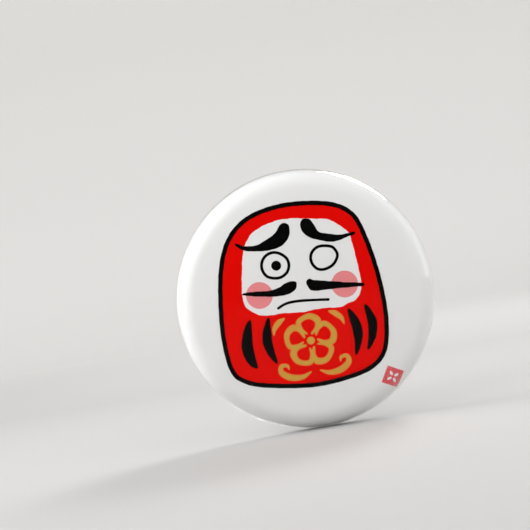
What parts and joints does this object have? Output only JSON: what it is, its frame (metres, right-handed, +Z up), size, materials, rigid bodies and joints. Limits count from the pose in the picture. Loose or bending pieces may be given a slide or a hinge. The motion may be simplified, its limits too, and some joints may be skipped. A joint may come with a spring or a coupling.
{
  "type": "pin-back button badge",
  "caption": "Round domed badge printed with a daruma doll, wrapped in clear film over a steel shell, with a hooked wire pin across its back plate.",
  "frame": {"origin": "centre of the badge's back rim, in the plane that lies against the cloth", "axes": "+Y out of the pin side, away from the printed face; +Z up to the top of the print; +X to the catch side"},
  "size_m": [0.032, 0.0066, 0.032],
  "materials": {
    "film": "clear glossy film",
    "print": "white paper with printed ink",
    "shell": "plain tinplate",
    "plate": "bright stamped tinplate, finely brushed",
    "wire": "bright nickel plate"
  },
  "bodies": {
    "badge": {"clear_film": "film", "printed_paper": "print", "front_shell": "shell", "back_plate": "plate", "catch_wire": "wire"},
    "needle": {"pin_needle": "wire"}
  },
  "joints": [
    {"name": "needle_swing", "type": "hinge", "parent": "badge", "child": "needle", "pos_m": [-0.01069, -0.00024, 0], "axis": [0.866, 0.5, 0], "range_deg": [0, 170]}
  ]
}
